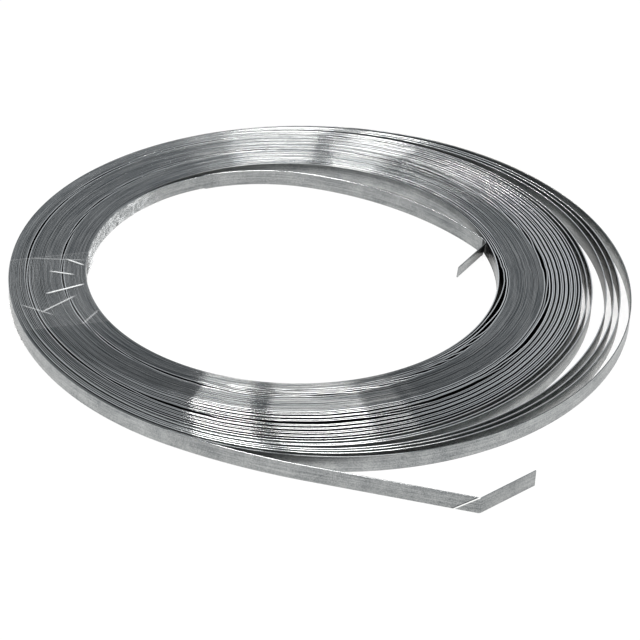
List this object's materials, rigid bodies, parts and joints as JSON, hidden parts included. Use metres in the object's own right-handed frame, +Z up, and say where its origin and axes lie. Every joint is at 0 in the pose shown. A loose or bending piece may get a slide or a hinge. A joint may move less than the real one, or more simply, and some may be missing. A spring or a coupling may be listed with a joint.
{
  "type": "coil of narrow steel strip",
  "caption": "Flat-lying coil of bright narrow steel strip, outer turns sprung open on one side, both ends folded, bound with clear tape.",
  "frame": {"origin": "on the axis of the bore, on the floor that the coil lies on", "axes": "+Z up along the bore axis, +X towards the side where the outer turns stand open, -Y towards the folded outer end"},
  "size_m": [0.3645, 0.3875, 0.0101],
  "materials": {
    "bright_steel": "bright cold-rolled, with rounded edges",
    "clear_film": "clear glossy adhesive film"
  },
  "bodies": {
    "root": {"steel_strip": "bright_steel", "clear_tape": "clear_film"}
  },
  "joints": []
}
